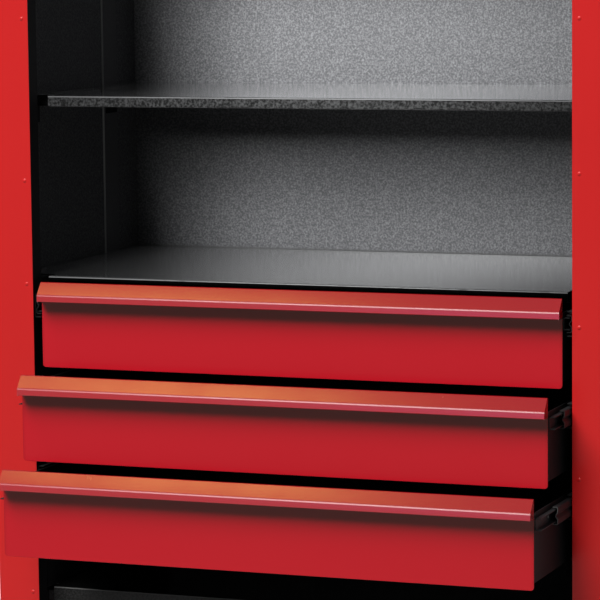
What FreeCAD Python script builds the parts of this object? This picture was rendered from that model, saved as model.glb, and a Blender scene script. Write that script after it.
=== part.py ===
import FreeCAD, Part
import math
import os

# Open-fronted steel drawer cabinet: a red double-walled body with a black inside, shelves above and
# drawers on telescopic rails below. Millimetres, +X to the right, +Y to the back, +Z up.
# The origin is on the floor under the middle of the body.

# Body
WIDTH = 950.0
DEPTH = 500.0
HEIGHT = 1950.0
PLINTH_HEIGHT = 100.0
PLINTH_RIM = 40.0
CAP_HEIGHT = 30.0
STILE_WIDTH = 65.0
WALL_DEPTH = 18.0
POST_DEPTH = 30.0
BACK_RECESS = 10.0
REAR_FLANGE = 15.0
CEILING_DROP = 38.0

# Sheet metal
SHELL_SHEET = 1.2
INNER_SHEET = 1.0
PLATE_SHEET = 1.2
RAIL_SHEET = 1.2
BRACKET_SHEET = 1.5
BEND = 1.2
BODY_EDGE = 2.0
SEAM = 0.3

# Plates and shelves across the inside
DECK_HEIGHT = 1050.0
DECK_SETBACK = 25.5
DECK_FRONT_INSET = 14.0
BAY_HEIGHT = 469.0
BAY_FLOOR_SETBACK = 43.0
BAY_FLOOR_FRONT_INSET = 4.0
BAY_FLOOR_LIP = 30.0
SHELF_COUNT = 2
SHELF_SPACING = 264.0
SHELF_SETBACK = 49.0
SHELF_FRONT_INSET = 7.0
SHELF_SIDE_GAP = 1.5
PLATE_LIP = 15.8
LIP_RETURN = 10.0
CORNER_CUT = 26.0
PLATE_BACK_GAP = 1.0

# Wall strips, brackets and cheeks
STRIP_WIDTH = 50.0
STRIP_PROUD = 3.5
STRIP_BACK_GAP = 80.0
BRACKET_LENGTH = 40.0
BRACKET_LEG = 27.0
BRACKET_HEIGHT = 28.0
FRONT_BRACKET_GAP = 60.0
CHEEK_FLANGE = 16.0

# Drawers, with how far each is pulled out from the top one down
PULLED_OUT = (0.0, 72.0, 139.0)
DRAWER_PITCH = 128.0
FRONT_GAP = 2.0
FIRST_FRONT_DROP = 6.0
FRONT_SIDE_GAP = 14.0
FRONT_SHEET = 1.2
FRONT_CORNER = 5.0
FRONT_RETURN = 14.0
FRONT_RETURN_INSET = 12.0
LIP_REACH = 17.0
LIP_SLOPE = 19.5
LIP_BAND = 8.0
LIP_HEM = 2.5
LIP_END_START = 0.3
TRAY_SHEET = 1.0
TRAY_LENGTH = 445.0
TRAY_TOP_DROP = 20.0
TRAY_BOTTOM_RISE = 10.0

# Telescopic rails
RAIL_LENGTH = 450.0
RAIL_SETBACK = 6.0
RAIL_SPACE = 14.5
RAIL_DROP = 36.0
CABINET_RAIL_HEIGHT = 35.0
CABINET_RAIL_FLANGE = 9.0
MIDDLE_RAIL_HEIGHT = 25.0
MIDDLE_RAIL_FLANGE = 7.5
MIDDLE_RAIL_PLAY = 1.0
RIB_HEIGHT = 9.0
RIB_DEPTH = 3.3
DRAWER_RAIL_HEIGHT = 17.6
DRAWER_RAIL_FLANGE = 9.0

# Fasteners
HOLE_PLAY = 0.05
STILE_RIVET_RADIUS = 1.6
STILE_RIVET_HEAD = 3.0
STILE_RIVET_DOME = 1.0
STILE_RIVET_INSET = 10.0
STILE_RIVET_PITCH = 212.0
STILE_RIVET_MARGIN = 56.0
DECK_RIVET_DROP = 10.0
DECK_RIVET_RISE = 142.0
RAIL_RIVET_RADIUS = 2.0
RAIL_RIVET_HEAD = 4.0
RAIL_RIVET_DOME = 2.0
RAIL_RIVET_MARGIN = 60.0
STUD_RADIUS = 2.5
STUD_LENGTH = 8.0
NUT_ACROSS_FLATS = 8.0
NUT_HEIGHT = 4.0
NUT_EDGE_GAP = 65.0
NUT_DROP = 40.0
WALL_HOLE_RADIUS = 4.5
WALL_HOLE_SPACING = 700.0
WALL_HOLE_DROP = 150.0

# Planes and levels worked out from the sizes above
half_width = WIDTH / 2
front_y = -DEPTH / 2
rear_y = DEPTH / 2
opening_half = half_width - STILE_WIDTH
liner_x = half_width - WALL_DEPTH
post_back_y = front_y + POST_DEPTH
back_panel_y = rear_y - BACK_RECESS
plate_back_y = back_panel_y - PLATE_BACK_GAP
body_bottom_z = PLINTH_HEIGHT
body_top_z = HEIGHT - CAP_HEIGHT
ceiling_z = HEIGHT - CEILING_DROP
bay_floor_z = DECK_HEIGHT - BAY_HEIGHT
shelf_levels = [DECK_HEIGHT + SHELF_SPACING * (n + 1) for n in range(SHELF_COUNT)]
plate_half = liner_x - SEAM
shelf_half = liner_x - STRIP_PROUD - SHELF_SIDE_GAP
strip_back_y = back_panel_y - STRIP_BACK_GAP
strip_front_y = strip_back_y - STRIP_WIDTH
strip_x = liner_x - STRIP_PROUD
front_half = opening_half - FRONT_SIDE_GAP
front_height = DRAWER_PITCH - FRONT_GAP
tray_half = opening_half - RAIL_SPACE
rail_front_y = front_y + RAIL_SETBACK
stile_rivet_x = opening_half + STILE_RIVET_INSET
rail_rivet_offsets = (RAIL_RIVET_MARGIN, RAIL_LENGTH - RAIL_RIVET_MARGIN)
nut_offsets = [side * (tray_half - NUT_EDGE_GAP) / step for side in (-1, 1) for step in (1, 3)]

# The axes that a profile's two coordinates run along, for each axis of extrusion
PROFILE_AXES = {
    "X": (FreeCAD.Vector(0, 1, 0), FreeCAD.Vector(0, 0, 1), FreeCAD.Vector(1, 0, 0)),
    "Y": (FreeCAD.Vector(1, 0, 0), FreeCAD.Vector(0, 0, 1), FreeCAD.Vector(0, 1, 0)),
    "Z": (FreeCAD.Vector(1, 0, 0), FreeCAD.Vector(0, 1, 0), FreeCAD.Vector(0, 0, 1)),
}


def box(x0, x1, y0, y1, z0, z1):
    """A block between two corners."""
    return Part.makeBox(x1 - x0, y1 - y0, z1 - z0, FreeCAD.Vector(x0, y0, z0))


def rod(start, axis, length, radius):
    """A round bar from a point along a unit axis."""
    return Part.makeCylinder(radius, length, FreeCAD.Vector(*start), FreeCAD.Vector(*axis))


def mirrored(shape):
    """The same shape on the other side of the cabinet."""
    return shape.mirror(FreeCAD.Vector(0, 0, 0), FreeCAD.Vector(1, 0, 0))


def directions(points):
    """Unit directions of the runs of an open line."""
    runs = []
    for (u0, v0), (u1, v1) in zip(points, points[1:]):
        length = math.hypot(u1 - u0, v1 - v0)
        runs.append(((u1 - u0) / length, (v1 - v0) / length))
    return runs


def moved_left(points, distance):
    """An open line moved to the left of its travel, with mitred corners."""
    runs = directions(points)
    moved = []
    for i, (u, v) in enumerate(points):
        before = runs[max(i - 1, 0)]
        after = runs[min(i, len(runs) - 1)]
        mitre = distance / (1 + before[0] * after[0] + before[1] * after[1])
        moved.append((u - (before[1] + after[1]) * mitre, v + (before[0] + after[0]) * mitre))
    return moved


def rounded_line(points, radii, place):
    """Straight and arc edges along an open line, with a radius at each inner corner."""
    runs = directions(points)
    edges = []
    start = points[0]
    for i, radius in enumerate(radii):
        (u, v), before, after = points[i + 1], runs[i], runs[i + 1]
        turn = math.acos(before[0] * after[0] + before[1] * after[1])
        reach = radius * math.tan(turn / 2)
        arc_start = (u - before[0] * reach, v - before[1] * reach)
        arc_end = (u + after[0] * reach, v + after[1] * reach)
        to_centre = (after[0] - before[0], after[1] - before[1])
        scale = (radius / math.cos(turn / 2) - radius) / math.hypot(*to_centre)
        arc_middle = (u + to_centre[0] * scale, v + to_centre[1] * scale)
        edges.append(Part.LineSegment(place(start), place(arc_start)).toShape())
        edges.append(Part.Arc(place(arc_start), place(arc_middle), place(arc_end)).toShape())
        start = arc_end
    edges.append(Part.LineSegment(place(start), place(points[-1])).toShape())
    return edges


def folded_sheet(points, sheet, axis, start, end):
    """Sheet metal folded along a line of points, with the metal on the left of the line, and run
    along an axis from start to end."""
    u_axis, v_axis, w_axis = PROFILE_AXES[axis]

    def place(point):
        return u_axis * point[0] + v_axis * point[1] + w_axis * start

    runs = directions(points)
    near, far = [], []
    for before, after in zip(runs, runs[1:]):
        turns_left = before[0] * after[1] - before[1] * after[0] > 0
        near.append(BEND + sheet if turns_left else BEND)
        far.append(BEND if turns_left else BEND + sheet)
    other = moved_left(points, sheet)
    edges = rounded_line(points, near, place) + rounded_line(other, far, place)
    edges.append(Part.LineSegment(place(points[0]), place(other[0])).toShape())
    edges.append(Part.LineSegment(place(points[-1]), place(other[-1])).toShape())
    face = Part.Face(Part.Wire(Part.__sortEdges__(edges)))
    return face.extrude(w_axis * (end - start))


def edges_where(shape, test):
    """Edges of a shape whose two end points both pass a test."""
    return [e for e in shape.Edges if len(e.Vertexes) == 2 and all(test(v.Point) for v in e.Vertexes)]


def edges_along(shape, axis):
    """Straight edges of a shape that run along an axis."""
    way = PROFILE_AXES[axis][2]
    straight = [e for e in shape.Edges if isinstance(e.Curve, Part.Line)]
    return [e for e in straight if abs(e.tangentAt(e.FirstParameter).dot(way)) > 0.999]


def domed_rivet(head_point, axis, head, dome, shank, length):
    """A rivet whose head stands on a sheet: axis points from the head along the shank."""
    sphere_radius = (head**2 + dome**2) / (2 * dome)
    along = FreeCAD.Vector(*axis)
    seat = FreeCAD.Vector(*head_point)
    ball = Part.makeSphere(sphere_radius, seat + along * (sphere_radius - dome))
    slab = Part.makeCylinder(head + sphere_radius, dome, seat - along * dome, along)
    return ball.common(slab).fuse(Part.makeCylinder(shank, length, seat, along)).removeSplitter()


def notched_plate(top_z, half, front, front_half_width, lip):
    """A plate across the inside with folded edges, cut back at the corners behind the front posts."""
    profile = [
        (plate_back_y, top_z - PLATE_LIP),
        (plate_back_y, top_z),
        (front, top_z),
        (front, top_z - lip),
        (front + LIP_RETURN, top_z - lip),
    ]
    plate = folded_sheet(profile, PLATE_SHEET, "X", -half, half)
    cut_back = max(front + CORNER_CUT, post_back_y + SEAM)
    corner = box(front_half_width, half + 1, front - 1, cut_back, top_z - lip - 1, top_z + 1)
    plate = plate.cut(corner).cut(mirrored(corner))
    side_lip = box(
        half - PLATE_SHEET, half, cut_back, plate_back_y - PLATE_SHEET, top_z - PLATE_LIP, top_z - PLATE_SHEET / 2
    )
    return plate.fuse([side_lip, mirrored(side_lip)]).removeSplitter()


def side_panel():
    """Left outer side, folded round to the front stile and to a narrow rear flange."""
    outline = [
        (-half_width + REAR_FLANGE, rear_y),
        (-half_width, rear_y),
        (-half_width, front_y),
        (-opening_half, front_y),
    ]
    return folded_sheet(outline, SHELL_SHEET, "Z", body_bottom_z, body_top_z)


def front_post():
    """Left channel behind the stile."""
    flange_y = front_y + SHELL_SHEET
    outline = [
        (-liner_x, flange_y),
        (-opening_half, flange_y),
        (-opening_half, post_back_y),
        (-liner_x, post_back_y),
    ]
    return folded_sheet(outline, INNER_SHEET, "Z", body_bottom_z, body_top_z)


def wall_liner():
    """Left inner wall with flanges towards the side panel."""
    flange_x = -half_width + SHELL_SHEET + BEND
    outline = [
        (flange_x, front_y + SHELL_SHEET),
        (-liner_x, front_y + SHELL_SHEET),
        (-liner_x, back_panel_y),
        (flange_x, back_panel_y),
    ]
    return folded_sheet(outline, INNER_SHEET, "Z", body_bottom_z, body_top_z)


def back_panel():
    """Back of the cabinet with rearward flanges and two holes for fixing it to a wall."""
    edge_x = half_width - SHELL_SHEET - BEND
    flange_y = rear_y - SHELL_SHEET
    outline = [(-edge_x, flange_y), (-edge_x, back_panel_y), (edge_x, back_panel_y), (edge_x, flange_y)]
    panel = folded_sheet(outline, INNER_SHEET, "Z", body_bottom_z, body_top_z)
    for x in (-WALL_HOLE_SPACING / 2, WALL_HOLE_SPACING / 2):
        start = (x, back_panel_y - 1, HEIGHT - WALL_HOLE_DROP)
        panel = panel.cut(rod(start, (0, 1, 0), INNER_SHEET + 2, WALL_HOLE_RADIUS))
    return panel


def rear_strip():
    """Left strip on the wall near the back, which carries the rear shelf brackets."""
    outline = [
        (-liner_x, strip_front_y),
        (-strip_x, strip_front_y),
        (-strip_x, strip_back_y),
        (-liner_x, strip_back_y),
    ]
    return folded_sheet(outline, INNER_SHEET, "Z", DECK_HEIGHT, ceiling_z)


def plinth():
    """Hollow base with a rim at its top and at the floor."""
    outer = box(-half_width, half_width, front_y, rear_y, 0, PLINTH_HEIGHT)
    outer = outer.makeFillet(BODY_EDGE, edges_along(outer, "Z"))
    wall = SHELL_SHEET
    room = box(-half_width + wall, half_width - wall, front_y + wall, rear_y - wall, wall, PLINTH_HEIGHT - wall)
    rim = PLINTH_RIM
    hole = box(-half_width + rim, half_width - rim, front_y + rim, rear_y - rim, -1, PLINTH_HEIGHT + 1)
    return outer.cut(room).cut(hole)


def top_cap():
    """Shallow lid of the body."""
    outer = box(-half_width, half_width, front_y, rear_y, body_top_z, HEIGHT)
    top_edges = edges_where(outer, lambda p: abs(p.z - HEIGHT) < HOLE_PLAY)
    outer = outer.makeFillet(BODY_EDGE, edges_along(outer, "Z") + top_edges)
    wall = SHELL_SHEET
    room = box(-half_width + wall, half_width - wall, front_y + wall, rear_y - wall, body_top_z, HEIGHT - wall)
    return outer.cut(room)


def ceiling_panel():
    """Roof of the inside, hung under the cap by its upturned edges."""
    rise = CEILING_DROP - SHELL_SHEET
    half = plate_half
    front = front_y + SHELL_SHEET + SEAM
    sheet = box(-half, half, post_back_y + SEAM, plate_back_y, ceiling_z, ceiling_z + PLATE_SHEET)
    sheet = sheet.fuse(
        box(-opening_half + SEAM, opening_half - SEAM, front, post_back_y + SEAM, ceiling_z, ceiling_z + PLATE_SHEET)
    )
    side = box(half - PLATE_SHEET, half, post_back_y + SEAM, plate_back_y, ceiling_z, ceiling_z + rise)
    return sheet.fuse([side, mirrored(side)]).removeSplitter()


def floor_panel():
    """Floor of the bottom compartment, on the plinth's rim."""
    return box(
        -plate_half,
        plate_half,
        post_back_y + SEAM,
        plate_back_y,
        PLINTH_HEIGHT,
        PLINTH_HEIGHT + PLATE_SHEET,
    )


def bay_cheek():
    """Left upright of the drawer bay, with flanges at the bay floor and under the deck."""
    top_z = DECK_HEIGHT - PLATE_SHEET
    flange_x = -opening_half - CHEEK_FLANGE
    outline = [(flange_x, bay_floor_z), (-opening_half, bay_floor_z), (-opening_half, top_z), (flange_x, top_z)]
    return folded_sheet(outline, INNER_SHEET, "Y", post_back_y + SEAM, plate_back_y - PLATE_SHEET - BEND)


def bracket(wall_x, middle_y, top_z):
    """Left angle bracket that a plate's side edge rests on."""
    outline = [(-wall_x + BRACKET_LEG, top_z), (-wall_x, top_z), (-wall_x, top_z - BRACKET_HEIGHT)]
    start = middle_y - BRACKET_LENGTH / 2
    return folded_sheet(outline, BRACKET_SHEET, "Y", start, start + BRACKET_LENGTH)


def bracket_group(plate_z, rear_wall_x):
    """Four brackets under one plate."""
    top_z = plate_z - PLATE_LIP
    front_bracket = bracket(liner_x, post_back_y + FRONT_BRACKET_GAP + BRACKET_LENGTH / 2, top_z)
    rear_bracket = bracket(rear_wall_x, strip_front_y + STRIP_WIDTH / 2, top_z)
    brackets = [front_bracket, rear_bracket]
    return brackets + [mirrored(b) for b in brackets]


def stile_rivet_levels(side):
    """Heights of the rivets in a stile. The left one has its own spacing beside the deck."""
    lowest = body_bottom_z + STILE_RIVET_MARGIN
    count = int((body_top_z - STILE_RIVET_MARGIN - lowest) / STILE_RIVET_PITCH) + 1
    levels = [lowest + STILE_RIVET_PITCH * n for n in range(count)]
    if side == "right":
        return levels
    kept = [z for z in levels if not bay_floor_z <= z <= shelf_levels[0]]
    return sorted(kept + [DECK_HEIGHT - DECK_RIVET_DROP, DECK_HEIGHT + DECK_RIVET_RISE])


def stile_rivets(side):
    """Rivets that hold a stile to the post behind it."""
    x = stile_rivet_x if side == "right" else -stile_rivet_x
    grip = SHELL_SHEET + INNER_SHEET
    return [
        domed_rivet((x, front_y, z), (0, 1, 0), STILE_RIVET_HEAD, STILE_RIVET_DOME, STILE_RIVET_RADIUS, grip)
        for z in stile_rivet_levels(side)
    ]


def rivet_holes(side):
    """Holes for the rivets in a stile and its post."""
    x = stile_rivet_x if side == "right" else -stile_rivet_x
    depth = SHELL_SHEET + INNER_SHEET + 2
    radius = STILE_RIVET_RADIUS + HOLE_PLAY
    return [rod((x, front_y - 1, z), (0, 1, 0), depth, radius) for z in stile_rivet_levels(side)]


def cabinet_rail(centre_z):
    """Left rail on the cheek: a channel that opens towards the drawer."""
    x = -opening_half
    top_z = centre_z + CABINET_RAIL_HEIGHT / 2
    low_z = centre_z - CABINET_RAIL_HEIGHT / 2
    outline = [(x + CABINET_RAIL_FLANGE, top_z), (x, top_z), (x, low_z), (x + CABINET_RAIL_FLANGE, low_z)]
    return folded_sheet(outline, RAIL_SHEET, "Y", rail_front_y, rail_front_y + RAIL_LENGTH)


def middle_rail(centre_z, pulled):
    """Left rail between the other two: a channel with a rib along its middle."""
    web_x = -opening_half + RAIL_SHEET + MIDDLE_RAIL_PLAY
    tip_x = web_x + MIDDLE_RAIL_FLANGE
    rib_x = web_x + RIB_DEPTH
    half = MIDDLE_RAIL_HEIGHT / 2
    outline = [
        (tip_x, centre_z + half),
        (web_x, centre_z + half),
        (web_x, centre_z + RIB_HEIGHT / 2),
        (rib_x, centre_z),
        (web_x, centre_z - RIB_HEIGHT / 2),
        (web_x, centre_z - half),
        (tip_x, centre_z - half),
    ]
    start = rail_front_y - pulled / 2
    return folded_sheet(outline, RAIL_SHEET, "Y", start, start + RAIL_LENGTH)


def drawer_rail(centre_z, pulled):
    """Left rail on the tray: a channel that opens towards the cheek."""
    web_x = -tray_half
    tip_x = web_x - DRAWER_RAIL_FLANGE
    half = DRAWER_RAIL_HEIGHT / 2
    outline = [(tip_x, centre_z - half), (web_x, centre_z - half), (web_x, centre_z + half), (tip_x, centre_z + half)]
    start = rail_front_y - pulled
    return folded_sheet(outline, RAIL_SHEET, "Y", start, start + RAIL_LENGTH)


def drawer_front(top_z, face_y):
    """Drawer face whose top is folded forward and down into a lip for the fingers."""
    low_z = top_z - front_height
    reach_y = face_y - LIP_REACH + FRONT_SHEET
    crest_turn = math.pi / 2 + math.atan2(LIP_SLOPE, LIP_REACH - FRONT_SHEET)
    crest_z = top_z - FRONT_SHEET + BEND * (math.tan(crest_turn / 2) - 1)
    band_top_z = crest_z - LIP_SLOPE
    band_low_z = band_top_z - LIP_BAND
    profile = [
        (reach_y + LIP_HEM, band_low_z),
        (reach_y, band_low_z),
        (reach_y, band_top_z),
        (face_y, crest_z),
        (face_y, low_z),
    ]
    front = folded_sheet(profile, FRONT_SHEET, "X", -front_half, front_half)
    low_return = box(
        -front_half + FRONT_RETURN_INSET,
        front_half - FRONT_RETURN_INSET,
        face_y + FRONT_SHEET / 2,
        face_y + FRONT_RETURN,
        low_z,
        low_z + FRONT_SHEET,
    )
    end_plate = lip_end(profile)
    front = front.fuse([end_plate, mirrored(end_plate), low_return]).removeSplitter()
    low_corners = [
        e for e in edges_along(front, "Y") if all(abs(v.Z - low_z) < SEAM for v in e.Vertexes) and is_front_end(e)
    ]
    return front.makeFillet(FRONT_CORNER, low_corners)


def is_front_end(edge):
    """Whether an edge lies at the left or right end of a drawer face."""
    return abs(abs(edge.CenterOfMass.x) - front_half) < SEAM


def lip_end(profile):
    """Plate that closes the right end of a lip, set in the middle of the folded sheet."""
    middle = moved_left(profile, FRONT_SHEET / 2)
    band_y, slope_foot, crest = middle[1][0], middle[2], middle[3]
    back_y = profile[3][0] + FRONT_SHEET / 2
    low_z = profile[1][1] + FRONT_SHEET
    slope_head = tuple(c + (f - c) * LIP_END_START for c, f in zip(crest, slope_foot))
    outline = [slope_head, slope_foot, (band_y, low_z), (back_y, low_z), (back_y, slope_head[1])]
    corners = [FreeCAD.Vector(front_half - FRONT_SHEET, y, z) for y, z in outline]
    return Part.Face(Part.makePolygon(corners + corners[:1])).extrude(FreeCAD.Vector(FRONT_SHEET, 0, 0))


def drawer_tray(top_z, face_y, rail_z):
    """Black tray behind a drawer face: a base and four walls, welded along their edges, with holes
    for the studs and the rail rivets."""
    near_y = face_y + FRONT_SHEET
    far_y = near_y + TRAY_LENGTH
    low_z = top_z - front_height + TRAY_BOTTOM_RISE
    wall_z = low_z + TRAY_SHEET
    rim_z = top_z - TRAY_TOP_DROP
    inner_half = tray_half - TRAY_SHEET
    base = box(-tray_half, tray_half, near_y, far_y, low_z, wall_z)
    near_wall = box(-inner_half, inner_half, near_y, near_y + TRAY_SHEET, wall_z, rim_z)
    far_wall = box(-inner_half, inner_half, far_y - TRAY_SHEET, far_y, wall_z, rim_z)
    left_wall = box(-tray_half, -inner_half, near_y, far_y, wall_z, rim_z)
    for x in nut_offsets:
        stud_hole = rod((x, near_y - 1, top_z - NUT_DROP), (0, 1, 0), TRAY_SHEET + 2, STUD_RADIUS + HOLE_PLAY)
        near_wall = near_wall.cut(stud_hole)
    for y in rail_rivet_offsets:
        start = (-tray_half - 1, rail_front_y - front_y + face_y + y, rail_z)
        left_wall = left_wall.cut(rod(start, (1, 0, 0), TRAY_SHEET + 2, RAIL_RIVET_RADIUS + HOLE_PLAY))
    return [base, near_wall, far_wall, left_wall, mirrored(left_wall)]


def stud_and_nut(x, z, near_y):
    """Weld stud on the back of a drawer face, with its nut inside the tray."""
    stud = rod((x, near_y, z), (0, 1, 0), STUD_LENGTH, STUD_RADIUS)
    across_corners = NUT_ACROSS_FLATS / math.cos(math.pi / 6)
    corners = []
    for n in range(7):
        angle = math.pi / 3 * n
        offset = (across_corners / 2 * math.cos(angle), across_corners / 2 * math.sin(angle))
        corners.append(FreeCAD.Vector(x + offset[0], near_y + TRAY_SHEET, z + offset[1]))
    nut = Part.Face(Part.makePolygon(corners)).extrude(FreeCAD.Vector(0, NUT_HEIGHT, 0))
    return stud.fuse(nut).removeSplitter()


def cabinet_rail_rivets(rail_z):
    """Rivets through the left and right cheeks and the cabinet rails of one drawer."""
    grip = INNER_SHEET + RAIL_SHEET
    rivets = []
    for y in rail_rivet_offsets:
        seat = (-opening_half - INNER_SHEET, rail_front_y + y, rail_z)
        rivets.append(domed_rivet(seat, (1, 0, 0), RAIL_RIVET_HEAD, RAIL_RIVET_DOME, RAIL_RIVET_RADIUS, grip))
    return rivets + [mirrored(r) for r in rivets]


def tray_rivets(rail_z, pulled):
    """Rivets through the tray's sides and the drawer rails."""
    grip = TRAY_SHEET + RAIL_SHEET
    rivets = []
    for y in rail_rivet_offsets:
        seat = (-tray_half + TRAY_SHEET, rail_front_y - pulled + y, rail_z)
        rivets.append(domed_rivet(seat, (-1, 0, 0), RAIL_RIVET_HEAD, RAIL_RIVET_DOME, RAIL_RIVET_RADIUS, grip))
    return rivets + [mirrored(r) for r in rivets]


def rail_rivet_holes(rail_z, pulled):
    """Left holes for the rivets of one rail, long enough for a cheek or tray wall beside it."""
    reach = 2 * (RAIL_SHEET + INNER_SHEET)
    radius = RAIL_RIVET_RADIUS + HOLE_PLAY
    holes = []
    for wall_x in (-opening_half, -tray_half):
        for y in rail_rivet_offsets:
            holes.append(rod((wall_x - reach / 2, rail_front_y - pulled + y, rail_z), (1, 0, 0), reach, radius))
    return holes


nodes = {}


def add(name, shape):
    """Keep a piece, or a group of like pieces, under its name."""
    nodes[name] = Part.makeCompound(shape) if isinstance(shape, list) else shape


def add_both_sides(name, left_shape):
    add("left_" + name, left_shape)
    add("right_" + name, mirrored(left_shape))


def build_body():
    """Everything that stands still, apart from the rails on the cheeks."""
    for side in ("left", "right"):
        holes = Part.makeCompound(rivet_holes(side))
        panel, post = side_panel(), front_post()
        if side == "right":
            panel, post = mirrored(panel), mirrored(post)
        add(side + "_side_panel", panel.cut(holes))
        add(side + "_front_post", post.cut(holes))
        add(side + "_stile_rivets", stile_rivets(side))
    add_both_sides("wall_liner", wall_liner())
    add_both_sides("rear_strip", rear_strip())
    add("back_panel", back_panel())
    add("plinth", plinth())
    add("floor_panel", floor_panel())
    add("top_cap", top_cap())
    add("ceiling_panel", ceiling_panel())
    deck_front = front_y + DECK_SETBACK
    add("deck_plate", notched_plate(DECK_HEIGHT, plate_half, deck_front, opening_half - DECK_FRONT_INSET, PLATE_LIP))
    floor_front = front_y + BAY_FLOOR_SETBACK
    floor_half = opening_half - BAY_FLOOR_FRONT_INSET
    add("bay_floor", notched_plate(bay_floor_z, plate_half, floor_front, floor_half, BAY_FLOOR_LIP))
    add("bay_brackets", bracket_group(bay_floor_z, liner_x))
    for n, level in enumerate(shelf_levels, 1):
        shelf_front = front_y + SHELF_SETBACK
        shelf = notched_plate(level, shelf_half, shelf_front, opening_half - SHELF_FRONT_INSET, PLATE_LIP)
        add(f"shelf_{n}", shelf)
        add(f"shelf_{n}_brackets", bracket_group(level, strip_x))


def build_drawers():
    """The drawers with their rails, and the cheeks that carry them."""
    cheek = bay_cheek()
    rivets = []
    for n, pulled in enumerate(PULLED_OUT):
        name = f"drawer_{n + 1}_"
        top_z = DECK_HEIGHT - FIRST_FRONT_DROP - DRAWER_PITCH * n
        face_y = front_y - pulled
        rail_z = top_z - RAIL_DROP
        still_holes = Part.makeCompound(rail_rivet_holes(rail_z, 0))
        moved_holes = Part.makeCompound(rail_rivet_holes(rail_z, pulled))
        cheek = cheek.cut(still_holes)
        rivets += cabinet_rail_rivets(rail_z)
        rails = {
            "cabinet_rail": cabinet_rail(rail_z).cut(still_holes),
            "middle_rail": middle_rail(rail_z, pulled),
            "drawer_rail": drawer_rail(rail_z, pulled).cut(moved_holes),
        }
        for rail_name, rail in rails.items():
            add(name + "left_" + rail_name, rail)
            add(name + "right_" + rail_name, mirrored(rail))
        add(name + "front", drawer_front(top_z, face_y))
        add(name + "tray", drawer_tray(top_z, face_y, rail_z))
        add(name + "rail_rivets", tray_rivets(rail_z, pulled))
        near_y = face_y + FRONT_SHEET
        add(name + "front_nuts", [stud_and_nut(x, top_z - NUT_DROP, near_y) for x in nut_offsets])
    add_both_sides("bay_cheek", cheek)
    add("cheek_rivets", rivets)


build_body()
build_drawers()
os.makedirs("parts", exist_ok=True)
for name, shape in nodes.items():
    if not shape.isValid():
        raise ValueError(name + " isn't a valid shape")
    shape.exportStep(f"parts/{name}.step")
    print(name, len(shape.Solids), round(shape.Volume))
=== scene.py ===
import math

import bmesh
import bpy
from mathutils import Matrix, Vector


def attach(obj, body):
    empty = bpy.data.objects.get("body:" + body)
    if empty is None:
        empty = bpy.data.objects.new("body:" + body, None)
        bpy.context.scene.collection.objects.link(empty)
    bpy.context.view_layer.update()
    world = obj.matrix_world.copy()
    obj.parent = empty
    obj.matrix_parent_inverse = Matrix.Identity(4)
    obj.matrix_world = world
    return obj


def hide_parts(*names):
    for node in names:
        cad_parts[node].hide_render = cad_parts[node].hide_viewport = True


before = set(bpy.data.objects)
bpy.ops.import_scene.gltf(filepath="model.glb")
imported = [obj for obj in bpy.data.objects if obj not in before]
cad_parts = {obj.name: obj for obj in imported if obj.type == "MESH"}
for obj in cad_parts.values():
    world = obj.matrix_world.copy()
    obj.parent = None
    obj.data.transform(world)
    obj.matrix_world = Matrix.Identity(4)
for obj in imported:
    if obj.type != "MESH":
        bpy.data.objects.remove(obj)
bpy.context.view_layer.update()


# Sizes of the cabinet and its drawer fronts, in metres

CABINET_FRONT = -0.25
DECK_TOP = 1.05
PULLED_OUT = (0.0, 0.072, 0.139)
DRAWER_PITCH = 0.128
FIRST_FRONT_DROP = 0.006
DRAWER_TOPS = [DECK_TOP - FIRST_FRONT_DROP - DRAWER_PITCH * number for number in range(len(PULLED_OUT))]
DRAWER_FACES = [CABINET_FRONT - out for out in PULLED_OUT]
FRONT_GAP = 0.002
FRONT_HALF = 0.396
FRONT_HEIGHT = DRAWER_PITCH - FRONT_GAP
FRONT_SHEET = 0.0012
FRONT_BEND = 0.0012
FRONT_CORNER = 0.005
FRONT_RETURN = 0.014
FRONT_EASE = 0.0004
PANEL_DROP = 0.0032
LIP_REACH = 0.017
LIP_SLOPE = 0.0195
LIP_BAND = 0.008
LIP_HEM = 0.0025
LIP_FOLD = 0.0020
HEM_FOLD = 0.0010
LIP_END_DROP = 0.003
CREST_ANGLES = [math.radians(angle) for angle in (100.0, 60.0, 20.0)]
EASE_ANGLE = math.radians(50.0)
SMOOTH_ANGLE = math.radians(40.0)
TOUCH = 1e-5


# Shader building

SEEN_RAYS = ("Is Camera Ray", "Is Glossy Ray", "Is Transmission Ray")


class Wire:
    """A value in a graph. Sums, differences and products of it are worked out by Math nodes."""

    def __init__(self, graph, socket):
        self.graph = graph
        self.socket = socket

    def math(self, operation, first, second):
        return self.graph.node("ShaderNodeMath", {"operation": operation}, {0: first, 1: second})

    def __add__(self, other):
        return self.math("ADD", self, other)

    def __radd__(self, other):
        return self.math("ADD", other, self)

    def __sub__(self, other):
        return self.math("SUBTRACT", self, other)

    def __rsub__(self, other):
        return self.math("SUBTRACT", other, self)

    def __mul__(self, other):
        return self.math("MULTIPLY", self, other)

    def __rmul__(self, other):
        return self.math("MULTIPLY", other, self)


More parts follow.
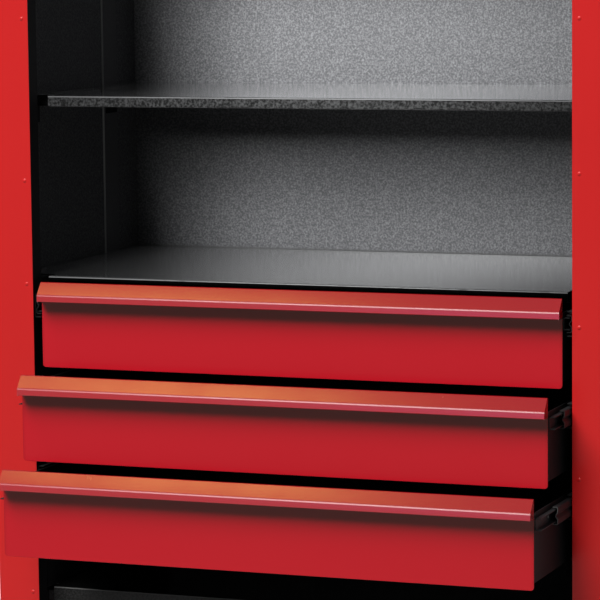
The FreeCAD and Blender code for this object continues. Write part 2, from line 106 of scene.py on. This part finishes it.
class Graph:
    """A tree of shader nodes, emptied and built anew."""

    def __init__(self, tree):
        self.tree = tree
        self.tree.nodes.clear()

    def node(self, kind, settings, sockets, output=0):
        made = self.tree.nodes.new(kind)
        for name, value in settings.items():
            if name == "stops":
                for stop, (position, level) in zip(made.color_ramp.elements, value):
                    stop.position = position
                    stop.color = grey(level)
            else:
                setattr(made, name, value)
        for name, value in sockets.items():
            if isinstance(value, Wire):
                self.tree.links.new(value.socket, made.inputs[name])
            else:
                made.inputs[name].default_value = value
        return Wire(self, made.outputs[output]) if made.outputs else None

    def seen(self):
        """One where the camera looks, also by way of a gloss or a glass, and nought for other light."""
        camera, gloss, glass = (self.node("ShaderNodeLightPath", {}, {}, ray) for ray in SEEN_RAYS)
        return camera + gloss + glass


class Finish(Graph):
    """One procedural paint or metal, laid out in Object coordinates."""

    def __init__(self, name):
        self.material = bpy.data.materials.new(name)
        self.material.use_nodes = True
        super().__init__(self.material.node_tree)
        self.place = self.node("ShaderNodeTexCoord", {}, {}, "Object")

    def noise(self, scale, detail, roughness=0.5, place=None):
        sockets = {"Vector": place or self.place, "Scale": scale, "Detail": detail, "Roughness": roughness}
        return self.node("ShaderNodeTexNoise", {}, sockets, "Fac")

    def cells(self, scale):
        return self.node("ShaderNodeTexVoronoi", {}, {"Vector": self.place, "Scale": scale}, "Distance")

    def stretched(self, scale):
        return self.node("ShaderNodeMapping", {}, {"Vector": self.place, "Scale": scale}, "Vector")

    def off_middle(self):
        across = self.node("ShaderNodeSeparateXYZ", {}, {"Vector": self.place}, "X")
        return self.node("ShaderNodeMath", {"operation": "ABSOLUTE"}, {0: across})

    def height(self):
        return self.node("ShaderNodeSeparateXYZ", {}, {"Vector": self.place}, "Z")

    def facing(self, axis):
        normal = self.node("ShaderNodeTexCoord", {}, {}, "Normal")
        return self.node("ShaderNodeSeparateXYZ", {}, {"Vector": normal}, axis)

    def ramp(self, value, low, high):
        stops = [(low, 0.0), (high, 1.0)]
        return self.node("ShaderNodeValToRGB", {"stops": stops}, {"Fac": value}, "Color")

    def mix(self, factor, first, second):
        sockets = {0: factor, 6: first, 7: second}
        return self.node("ShaderNodeMix", {"data_type": "RGBA"}, sockets, 2)

    def bump(self, height, strength, distance):
        sockets = {"Height": height, "Strength": strength, "Distance": distance}
        return self.node("ShaderNodeBump", {}, sockets, "Normal")

    def surface(self, sockets):
        shader = self.node("ShaderNodeBsdfPrincipled", {}, sockets)
        self.node("ShaderNodeOutputMaterial", {"target": "ALL"}, {"Surface": shader})
        return self.material


def colour(red, green, blue):
    return (red, green, blue, 1.0)


def grey(level):
    return colour(level, level, level)


def darker(share, parts):
    return colour(*[share * part for part in parts])


# Paints and metals

# How far in from the side the painted shade along a drawer face's edges begins, and where it is full
RIM_START = 0.0016
RIM_FULL = 0.0008
RAMP_MIDDLE = 0.5
# Heights about the deck top where the painted shade line in the corner fades in and fades out
CORNER_SHADE_START = (-0.003, -0.002)
CORNER_SHADE_END = (0.0014, 0.0030)
RAIL_DRAWING = (260.0, 6.0, 260.0)


def red_powder_coat(name, deep, light, gloss, coat, rough=0.30, side=None):
    """Gloss red. Where a side is given, a painted shade darkens the paint along the edge that far off the
    middle.
    """
    paint = Finish(name)
    cloud = paint.noise(scale=2.3, detail=3.0)
    peel = paint.noise(scale=420.0, detail=2.0)
    handling = paint.ramp(paint.noise(scale=11.0, detail=5.0, roughness=0.6), 0.45, 0.75)
    # Faces turned to the back get a much darker red: painted shade.
    rearward = paint.ramp(paint.facing("Y"), 0.20, 0.60)
    body = paint.mix(cloud, colour(*deep), colour(*light))
    if side:
        # Painted shade: a thin dark line along both side edges of the face.
        painted_rim_shade = paint.ramp(paint.off_middle(), side - RIM_START, side - RIM_FULL)
        body = paint.mix(painted_rim_shade, body, darker(0.45, deep))
    return paint.surface({
        "Base Color": paint.mix(rearward, body, darker(0.12, deep)),
        "Roughness": rough + 0.06 * cloud + 0.05 * handling,
        "Specular IOR Level": gloss,
        "Coat Weight": coat,
        "Coat Roughness": 0.16,
        "Normal": paint.bump(peel, strength=0.10, distance=0.0004),
    })


def black_texture_coat():
    """Textured black, with a painted shade line along the corner over the deck, and painted lighter on faces
    turned to the front than on faces turned to the back.
    """
    paint = Finish("black_texture_coat")
    grain = paint.noise(scale=330.0, detail=2.0, roughness=0.65)
    nubs = paint.cells(scale=420.0)
    cloud = paint.noise(scale=3.0, detail=3.0)
    glint = paint.ramp(grain, 0.40, 0.72)
    # The same black is painted lighter on faces turned to the front than on faces turned to the back: painted
    # light and shade, not two paints.
    rearward = paint.ramp(paint.facing("Y"), 0.40, 0.60)
    # A thin dark line just over the deck top: painted shade in the corner where the back meets the deck.
    over_deck = paint.height() - DECK_TOP + RAMP_MIDDLE
    corner_shade_start = paint.ramp(over_deck, *[RAMP_MIDDLE + rise for rise in CORNER_SHADE_START])
    corner_shade_end = paint.ramp(over_deck, *[RAMP_MIDDLE + rise for rise in CORNER_SHADE_END])
    body = paint.mix(glint, colour(0.070, 0.070, 0.073), colour(0.170, 0.170, 0.175))
    body = paint.mix(corner_shade_start * (1.0 - corner_shade_end), body, grey(0.065))
    rear = paint.mix(glint, colour(0.016, 0.016, 0.017), colour(0.045, 0.045, 0.046))
    return paint.surface({
        "Base Color": paint.mix(rearward, body, rear),
        "Roughness": 0.44 + 0.16 * cloud + 0.10 * nubs,
        "Specular IOR Level": 0.10,
        "Normal": paint.bump(grain + 0.5 * nubs, strength=0.25, distance=0.0006),
    })


def black_strip_coat():
    """Textured black with its narrow front edge painted pale grey: a painted highlight."""
    paint = Finish("black_strip_coat")
    grain = paint.noise(scale=330.0, detail=3.0, roughness=0.75)
    # The narrow faces turned to the front are painted pale grey: a painted highlight.
    painted_edge_highlight = paint.ramp(0.0 - paint.facing("Y"), 0.50, 0.90)
    body = paint.mix(grain, colour(0.060, 0.060, 0.062), colour(0.150, 0.150, 0.154))
    return paint.surface({
        "Base Color": paint.mix(painted_edge_highlight, body, colour(0.55, 0.55, 0.54)),
        "Roughness": 0.44 + 0.20 * grain,
        "Specular IOR Level": 0.10,
        "Normal": paint.bump(grain, strength=0.25, distance=0.0006),
    })


def black_plate_coat(name, top, front, gloss, edge, sheen):
    """Black with a smooth, dusty top, a grainy front and a patchy lighter line along the bend: a painted
    highlight.
    """
    paint = Finish(name)
    grain = paint.noise(scale=290.0, detail=3.0, roughness=0.7)
    cloud = paint.noise(scale=3.0, detail=3.0)
    glint = paint.ramp(grain, 0.42, 0.62)
    slope = paint.facing("Z")
    upward = paint.ramp(slope, 0.80, 0.98)
    bend = paint.ramp(slope, 0.10, 0.30) * (1.0 - paint.ramp(slope, 0.60, 0.80))
    # A lighter line along the bend, broken into patches: painted highlight.
    painted_edge_highlight = bend * paint.ramp(paint.noise(scale=30.0, detail=3.0, roughness=0.6), 0.08, 0.40)
    coat = paint.mix(glint, grey(0.10 * front), grey(front))
    dust = paint.mix(cloud, grey(0.8 * top), grey(top))
    body = paint.mix(upward, coat, dust)
    return paint.surface({
        "Base Color": paint.mix(painted_edge_highlight, body, grey(edge)),
        "Roughness": 0.70 - 0.65 * upward + 0.03 * cloud,
        "Specular IOR Level": gloss,
        "Coat Weight": upward,
        "Coat Roughness": 0.12,
        "Coat IOR": 2.2,
        "Sheen Weight": sheen,
        "Sheen Roughness": 0.35,
        "Normal": paint.bump(grain * (1.0 - upward), strength=0.05, distance=0.0003),
    })


def black_satin_paint():
    """Smooth black of the posts, trays, cheeks and brackets."""
    paint = Finish("black_satin_paint")
    cloud = paint.noise(scale=4.0, detail=3.0)
    peel = paint.noise(scale=380.0, detail=2.0)
    body = paint.mix(cloud, colour(0.007, 0.007, 0.0075), colour(0.013, 0.013, 0.014))
    return paint.surface({
        "Base Color": body,
        "Roughness": 0.46 + 0.14 * cloud,
        "Specular IOR Level": 0.07,
        "Normal": paint.bump(peel, strength=0.12, distance=0.0004),
    })


def rail_plate(name, ends):
    """Blackened steel with drawing marks along the rail and lighter cut ends."""
    metal = Finish(name)
    drawn = metal.noise(scale=1.0, detail=4.0, roughness=0.6, place=metal.stretched(RAIL_DRAWING))
    cloud = metal.noise(scale=14.0, detail=3.0)
    cut_end = metal.ramp(0.0 - metal.facing("Y"), 0.80, 0.98)
    web = metal.mix(drawn, colour(0.010, 0.010, 0.011), colour(0.022, 0.022, 0.023))
    return metal.surface({
        "Base Color": metal.mix(cut_end, web, grey(ends)),
        "Metallic": 0.2 + 0.3 * cut_end,
        "Roughness": 0.46 + 0.18 * cloud,
        "Specular IOR Level": 0.15,
        "Normal": metal.bump(drawn, strength=0.12, distance=0.0003),
    })


def zinc_plate():
    """Bright plating of the rivets and nuts."""
    metal = Finish("zinc_plate")
    spangle = metal.cells(scale=300.0)
    cloud = metal.noise(scale=60.0, detail=3.0)
    body = metal.mix(spangle, colour(0.55, 0.55, 0.54), colour(0.74, 0.73, 0.70))
    return metal.surface({
        "Base Color": body,
        "Metallic": 1.0,
        "Roughness": 0.26 + 0.16 * cloud,
        "Normal": metal.bump(spangle, strength=0.06, distance=0.0002),
    })


finishes = {
    "red_paint": red_powder_coat(
        "red_body_coat", deep=(0.545, 0.012, 0.012), light=(0.60, 0.016, 0.016), gloss=0.24, coat=0.04,
    ),
    # The drawer faces carry the painted shade line along their side edges.
    "drawer_red": red_powder_coat(
        "red_drawer_coat", deep=(0.508, 0.0148, 0.0222), light=(0.530, 0.0158, 0.0242), gloss=0.12, coat=0.0,
        side=FRONT_HALF,
    ),
    "lip_red": red_powder_coat(
        "red_lip_coat", deep=(0.485, 0.004, 0.012), light=(0.510, 0.005, 0.014), gloss=0.60, coat=0.0,
        rough=0.20,
    ),
    "black_texture": black_texture_coat(),
    # In the plate paints, edge sets the colour of the painted highlight along the bend.
    "shelf_black": black_plate_coat(
        "black_shelf_coat", top=0.08, front=0.027, gloss=0.04, edge=0.11, sheen=0.07,
    ),
    # The deck's front face is painted almost pure black: painted shade.
    "deck_black": black_plate_coat(
        "black_deck_coat", top=0.08, front=0.001, gloss=0.0, edge=0.11, sheen=0.23,
    ),
    # A shaded copy of the plate paint: its top painted near black as painted shade, with a brighter painted
    # highlight along its bend.
    "plate_black": black_plate_coat(
        "black_plate_coat", top=0.014, front=0.030, gloss=0.30, edge=0.20, sheen=0.0,
    ),
    "strip_black": black_strip_coat(),
    "black_paint": black_satin_paint(),
    "rail_steel": rail_plate("rail_plate", ends=0.07),
    # A copy of the rail paint with darker cut ends: painted shade.
    "dark_rail": rail_plate("dark_rail_plate", ends=0.02),
    "zinc_steel": zinc_plate(),
}

OWN_FINISH = {
    "deck_plate": "deck_black",
    "shelf_1": "shelf_black",
    "shelf_2": "shelf_black",
    "bay_floor": "plate_black",
    "floor_panel": "plate_black",
    "ceiling_panel": "plate_black",
    "left_rear_strip": "strip_black",
    "right_rear_strip": "strip_black",
}
# Rails whose cut ends are painted darker: painted shade. The lowest drawer's middle rails keep the lighter
# ends.
RAILS_IN_PAINTED_SHADE = {
    1: ("cabinet", "middle", "drawer"),
    2: ("cabinet", "middle", "drawer"),
    3: ("cabinet", "drawer"),
}
for number, rails in RAILS_IN_PAINTED_SHADE.items():
    for rail in rails:
        for side in ("left", "right"):
            OWN_FINISH[f"drawer_{number}_{side}_{rail}_rail"] = "dark_rail"

for name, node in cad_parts.items():
    for slot in node.material_slots:
        finish = OWN_FINISH.get(name, slot.material.name.split(".")[0])
        slot.material = finishes[finish]


# Drawer fronts, each a flat panel under a folded lip

def deselect_all():
    bpy.ops.object.select_all(action="DESELECT")


def upright_sheet(name, low, high, y):
    """A plane facing the front, across the whole drawer, between two heights."""
    deselect_all()
    middle = (0.0, y, (low + high) / 2)
    bpy.ops.mesh.primitive_plane_add(size=1.0, location=middle, rotation=(math.pi / 2, 0.0, 0.0))
    sheet = bpy.context.object
    sheet.name = sheet.data.name = name
    sheet.scale = (2 * FRONT_HALF, high - low, 1.0)
    bpy.ops.object.transform_apply(location=True, rotation=True, scale=True)
    bpy.ops.object.mode_set(mode="EDIT")
    bpy.ops.mesh.select_mode(type="VERT")
    return sheet


def pick(sheet, test):
    """Selects the points of a sheet in edit mode that pass a test of their place."""
    bpy.ops.mesh.select_all(action="DESELECT")
    mesh = bmesh.from_edit_mesh(sheet.data)
    for point in mesh.verts:
        point.select = test(point.co)
    mesh.select_flush(True)
    bmesh.update_edit_mesh(sheet.data)


def near(*pairs):
    return all(abs(value - goal) < TOUCH for value, goal in pairs)


def pull_edge(y, z):
    bpy.ops.mesh.extrude_region_move(TRANSFORM_OT_translate={"value": (0.0, y, z)})


def pull_point(y, z):
    bpy.ops.mesh.extrude_vertices_move(TRANSFORM_OT_translate={"value": (0.0, y, z)})


def finish_sheet(sheet):
    """Turns a folded sheet's faces outwards, gives it its thickness inwards and breaks its sharp edges."""
    bpy.ops.mesh.select_all(action="SELECT")
    bpy.ops.mesh.normals_make_consistent(inside=False)
    mesh = bmesh.from_edit_mesh(sheet.data)
    rearward = [face.normal.y * face.calc_area() for face in mesh.faces]
    if max(rearward) > -min(rearward):
        bpy.ops.mesh.flip_normals()
    bpy.ops.object.mode_set(mode="OBJECT")
    wall = sheet.modifiers.new("wall", "SOLIDIFY")
    wall.thickness = FRONT_SHEET
    wall.offset = -1.0
    wall.use_even_offset = True
    bpy.ops.object.modifier_apply(modifier=wall.name)
    ease = sheet.modifiers.new("ease", "BEVEL")
    ease.width = FRONT_EASE
    ease.segments = 2
    ease.limit_method = "ANGLE"
    ease.angle_limit = EASE_ANGLE
    bpy.ops.object.modifier_apply(modifier=ease.name)
    bpy.ops.object.shade_smooth_by_angle(angle=SMOOTH_ANGLE)
    flat = sheet.modifiers.new("flat", "WEIGHTED_NORMAL")
    flat.keep_sharp = True
    bpy.ops.object.modifier_apply(modifier=flat.name)


def drawer_panel(top, face):
    """Flat drawer face with round lower corners and a return along its foot."""
    low, high = top - FRONT_HEIGHT, top - PANEL_DROP
    panel = upright_sheet("drawer_1_panel", low, high, face)
    pick(panel, lambda place: near((place.z, low)))
    bpy.ops.mesh.bevel(offset=FRONT_CORNER, segments=6, affect="VERTICES")
    pick(panel, lambda place: near((place.z, low)))
    pull_edge(FRONT_RETURN, 0.0)
    finish_sheet(panel)
    return panel


def lip_outline(top, face):
    """Outer face of a lip in Y and Z: foot and head of its band, head of its slope, then over its crest."""
    run = LIP_REACH - FRONT_SHEET
    slope = math.hypot(run, LIP_SLOPE)
    crest_turn = math.pi / 2 + math.atan2(LIP_SLOPE, run)
    slope_foot = top - FRONT_SHEET + FRONT_BEND * (math.tan(crest_turn / 2) - 1.0) - LIP_SLOPE
    crest = FRONT_BEND + FRONT_SHEET
    crest_y, crest_z = face - FRONT_BEND, top - crest
    outline = [
        (face - LIP_REACH, slope_foot - LIP_BAND - FRONT_SHEET),
        (face - LIP_REACH, slope_foot + FRONT_SHEET * (slope - LIP_SLOPE) / run),
        (crest_y - crest * LIP_SLOPE / slope, crest_z + crest * run / slope),
    ]
    for angle in CREST_ANGLES:
        outline.append((crest_y + crest * math.cos(angle), crest_z + crest * math.sin(angle)))
    outline.append((face + FRONT_SHEET, top - PANEL_DROP))
    return outline


def drawer_lip(top, face):
    """Lip folded from the sheet: a slope forward and down, an upright band, a hem, and closed ends."""
    outline = lip_outline(top, face)
    (band_y, band_low), (_, band_high), (slope_y, slope_z) = outline[:3]
    lip = upright_sheet("drawer_1_lip", band_low, band_high, band_y)
    pick(lip, lambda place: near((place.z, band_high)))
    for (from_y, from_z), (to_y, to_z) in zip(outline[1:], outline[2:]):
        pull_edge(to_y - from_y, to_z - from_z)
    for end in (-FRONT_HALF, FRONT_HALF):
        pick(lip, lambda place: near((place.x, end), (place.y, slope_y), (place.z, slope_z)))
        pull_point(face - slope_y, -LIP_END_DROP)
        pull_point(0.0, band_low - slope_z + LIP_END_DROP)
        pick(lip, lambda place: near((place.x, end)) and place.z < slope_z + TOUCH and place.y < face + TOUCH)
        bpy.ops.mesh.edge_face_add()
    pick(lip, lambda place: near((place.y, band_y), (place.z, band_low)))
    pull_edge(LIP_HEM + FRONT_SHEET, 0.0)
    pick(lip, lambda place: near((place.y, band_y), (place.z, band_high)))
    bpy.ops.mesh.bevel(offset=LIP_FOLD, segments=6, affect="EDGES")
    pick(lip, lambda place: near((place.y, band_y), (place.z, band_low)))
    bpy.ops.mesh.bevel(offset=HEM_FOLD, segments=3, affect="EDGES")
    finish_sheet(lip)
    return lip


def copied_to(first, top, face):
    """A copy of the first drawer's piece, moved to another drawer's place."""
    deselect_all()
    first.select_set(True)
    bpy.context.view_layer.objects.active = first
    bpy.ops.object.duplicate(linked=False)
    copy = bpy.context.object
    copy.location = (0.0, face - DRAWER_FACES[0], top - DRAWER_TOPS[0])
    bpy.ops.object.transform_apply(location=True, rotation=True, scale=True)
    return copy


def on_every_drawer(part, shape, finish):
    """Models a piece on the first drawer, copies it to the others, and has each ride on its drawer."""
    first = shape(DRAWER_TOPS[0], DRAWER_FACES[0])
    first.data.materials.append(finish)
    made = [first]
    for top, face in zip(DRAWER_TOPS[1:], DRAWER_FACES[1:]):
        made.append(copied_to(first, top, face))
    for number, piece in enumerate(made, 1):
        piece.name = piece.data.name = f"drawer_{number}_{part}"
        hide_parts(f"drawer_{number}_front")
        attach(piece, f"drawer_{number}")
    return made


panels = on_every_drawer("panel", drawer_panel, finishes["drawer_red"])
lips = on_every_drawer("lip", drawer_lip, finishes["lip_red"])


# Studio

FLOOR_SIZE = 24.0
CAMERA_PLACE = Vector((1.5857, -4.3777, 1.5379))
CAMERA_YAW = math.radians(20.9)
CAMERA_PITCH = math.radians(6.56)
CAMERA_ROLL = math.radians(-0.6)
CAMERA_LENS = 187.86
CAMERA_SENSOR = 36.0
DRAWER_AIM = (0.0, -0.35, 0.85)
LIP_AIM = (0.0, -0.35, 0.9)
BODY_AIM = (0.0, 0.0, 1.0)
WARM_WHITE = (1.0, 0.99, 0.97)
COOL_WHITE = (0.98, 0.99, 1.0)
ROSE_WHITE = (1.0, 0.97, 0.98)
WHITE = (1.0, 1.0, 1.0)
PLATES = ("deck_plate", "shelf_1", "shelf_2")
INSIDE = (
    "back_panel",
    "ceiling_panel",
    "left_rear_strip",
    "right_rear_strip",
    "left_wall_liner",
    "right_wall_liner",
)
SHELL = ("left_side_panel", "right_side_panel", "back_panel", "plinth", "top_cap", "floor_panel")


def studio_floor():
    """Pale to the camera, but dim to the light that it would throw back on the cabinet."""
    deselect_all()
    bpy.ops.mesh.primitive_plane_add(size=FLOOR_SIZE, location=(0.0, 0.0, 0.0))
    floor = bpy.context.object
    floor.name = "studio_floor"
    paint = Finish("studio_floor")
    pale = paint.mix(paint.noise(scale=0.8, detail=3.0), grey(0.56), grey(0.59))
    shown = paint.mix(paint.seen(), grey(0.045), pale)
    floor.data.materials.append(paint.surface({"Base Color": shown, "Roughness": 0.9}))
    return floor


def studio_world():
    """A pale backdrop for the camera, and a dim light for the rest."""
    world = bpy.data.worlds.new("studio_world")
    world.use_nodes = True
    bpy.context.scene.world = world
    sky = Graph(world.node_tree)
    dim = sky.node("ShaderNodeBackground", {}, {"Color": colour(0.9, 0.95, 1.0), "Strength": 0.035})
    pale = sky.node("ShaderNodeBackground", {}, {"Color": colour(0.86, 0.87, 0.88), "Strength": 0.65})
    both = sky.node("ShaderNodeMixShader", {}, {0: sky.seen(), 1: dim, 2: pale})
    sky.node("ShaderNodeOutputWorld", {}, {"Surface": both})


def soft_light(name, place, target, size, power, tint, lit, spread=180.0, mirrored=True):
    """A rectangular lamp that lights one group of pieces."""
    lamp = bpy.data.lights.new(name, "AREA")
    lamp.shape = "RECTANGLE"
    lamp.size, lamp.size_y = size
    lamp.energy = power
    lamp.color = tint
    lamp.spread = math.radians(spread)
    holder = bpy.data.objects.new(name, lamp)
    bpy.context.scene.collection.objects.link(holder)
    holder.location = place
    aim = Vector(target) - Vector(place)
    holder.rotation_euler = aim.to_track_quat("-Z", "Y").to_euler()
    holder.visible_camera = False
    holder.visible_glossy = mirrored
    group = bpy.data.collections.new(name + "_lit")
    for each in lit:
        group.objects.link(each)
    holder.light_linking.receiver_collection = group


def light_body(outside, shell):
    """The main lamp of the red outside, and two behind the cabinet."""
    soft_light("key", (-2.0, -5.2, 7.75), DRAWER_AIM, (6.0, 4.6), 1305.0, WARM_WHITE, outside)
    soft_light("back_left", (-3.0, 3.2, 2.6), BODY_AIM, (2.0, 2.0), 120.0, WHITE, shell)
    soft_light("back_right", (3.2, 2.8, 2.4), BODY_AIM, (2.0, 2.0), 120.0, WHITE, shell)


def light_panels():
    """A purple main lamp and a green fill, which are plain together and leave the shade grey brown."""
    soft_light(
        "drawer_key", (-2.0, -4.5, 8.2), DRAWER_AIM, (6.0, 4.6), 1545.0, (1.0, 0.06, 0.48), panels,
    )
    soft_light(
        "drawer_fill", (0.3, -5.0, 0.80), DRAWER_AIM, (3.0, 1.5), 200.0, (0.0, 1.0, 0.56), panels,
        mirrored=False,
    )


def light_lips():
    """The main lamp of the lips, a sheen on their bands and an orange glow on their slopes."""
    soft_light("lip_key", (-1.35, -4.75, 2.78), LIP_AIM, (2.2, 2.6), 190.0, ROSE_WHITE, lips)
    soft_light("band_sheen", (-0.75, -4.2, 0.4), LIP_AIM, (1.1, 0.7), 4.5, (1.0, 0.25, 0.85), lips)
    soft_light(
        "lip_glow", (-1.15, -1.19, 3.1), (-1.15, -1.19, 0.0), (0.80, 0.45), 10.0, (1.0, 0.60, 0.15), lips,
    )


def light_inside(inside, plates, back_panel):
    """Narrow lamps for the walls, for the tops and edges of the plates, and for the back panel."""
    soft_light(
        "inside_key", (-0.50, -1.4, 1.70), (-0.09, 0.24, 1.50), (0.70, 0.45), 5.4, COOL_WHITE, inside,
        spread=46.0,
    )
    soft_light(
        "plate_key", (0.0, -2.3, 1.85), (0.09, 0.0, 1.18), (0.3, 0.3), 1.5, COOL_WHITE, plates, spread=18.5,
    )
    soft_light(
        "edge_key", (-0.45, -2.6, 1.04), (-0.10, -0.25, 1.18), (0.6, 0.05), 8.0, COOL_WHITE, plates,
        spread=40.0,
    )
    soft_light(
        "panel_key", (-0.62, -2.3, 2.18), (0.0, 0.24, 1.25), (0.6, 0.4), 40.0, COOL_WHITE, [back_panel],
    )


def camera_at_photo():
    """The camera where the photograph was taken from."""
    level = Vector((math.cos(CAMERA_YAW), math.sin(CAMERA_YAW), 0.0))
    ahead = Vector((-math.sin(CAMERA_YAW), math.cos(CAMERA_YAW), 0.0)) * math.cos(CAMERA_PITCH)
    ahead.z = -math.sin(CAMERA_PITCH)
    upright = level.cross(ahead)
    right = math.cos(CAMERA_ROLL) * level + math.sin(CAMERA_ROLL) * upright
    up = math.cos(CAMERA_ROLL) * upright - math.sin(CAMERA_ROLL) * level
    camera = bpy.data.cameras.new("photo_camera")
    camera.lens = CAMERA_LENS
    camera.sensor_width = CAMERA_SENSOR
    holder = bpy.data.objects.new("photo_camera", camera)
    bpy.context.scene.collection.objects.link(holder)
    turn = Matrix((right, up, -ahead)).transposed()
    holder.matrix_world = Matrix.Translation(CAMERA_PLACE) @ turn.to_4x4()
    bpy.context.scene.camera = holder


def studio():
    floor = studio_floor()
    studio_world()
    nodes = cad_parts
    inside = [nodes[name] for name in INSIDE]
    plates = [nodes[name] for name in PLATES]
    apart = inside + plates + lips + panels
    meshes = [each for each in bpy.context.scene.objects if each.type == "MESH"]
    outside = [each for each in meshes if each not in apart]
    light_body(outside, [nodes[name] for name in SHELL] + [floor])
    light_panels()
    light_lips()
    light_inside(inside, plates, nodes["back_panel"])
    camera_at_photo()
    bpy.context.scene.view_settings.view_transform = "Standard"


studio()
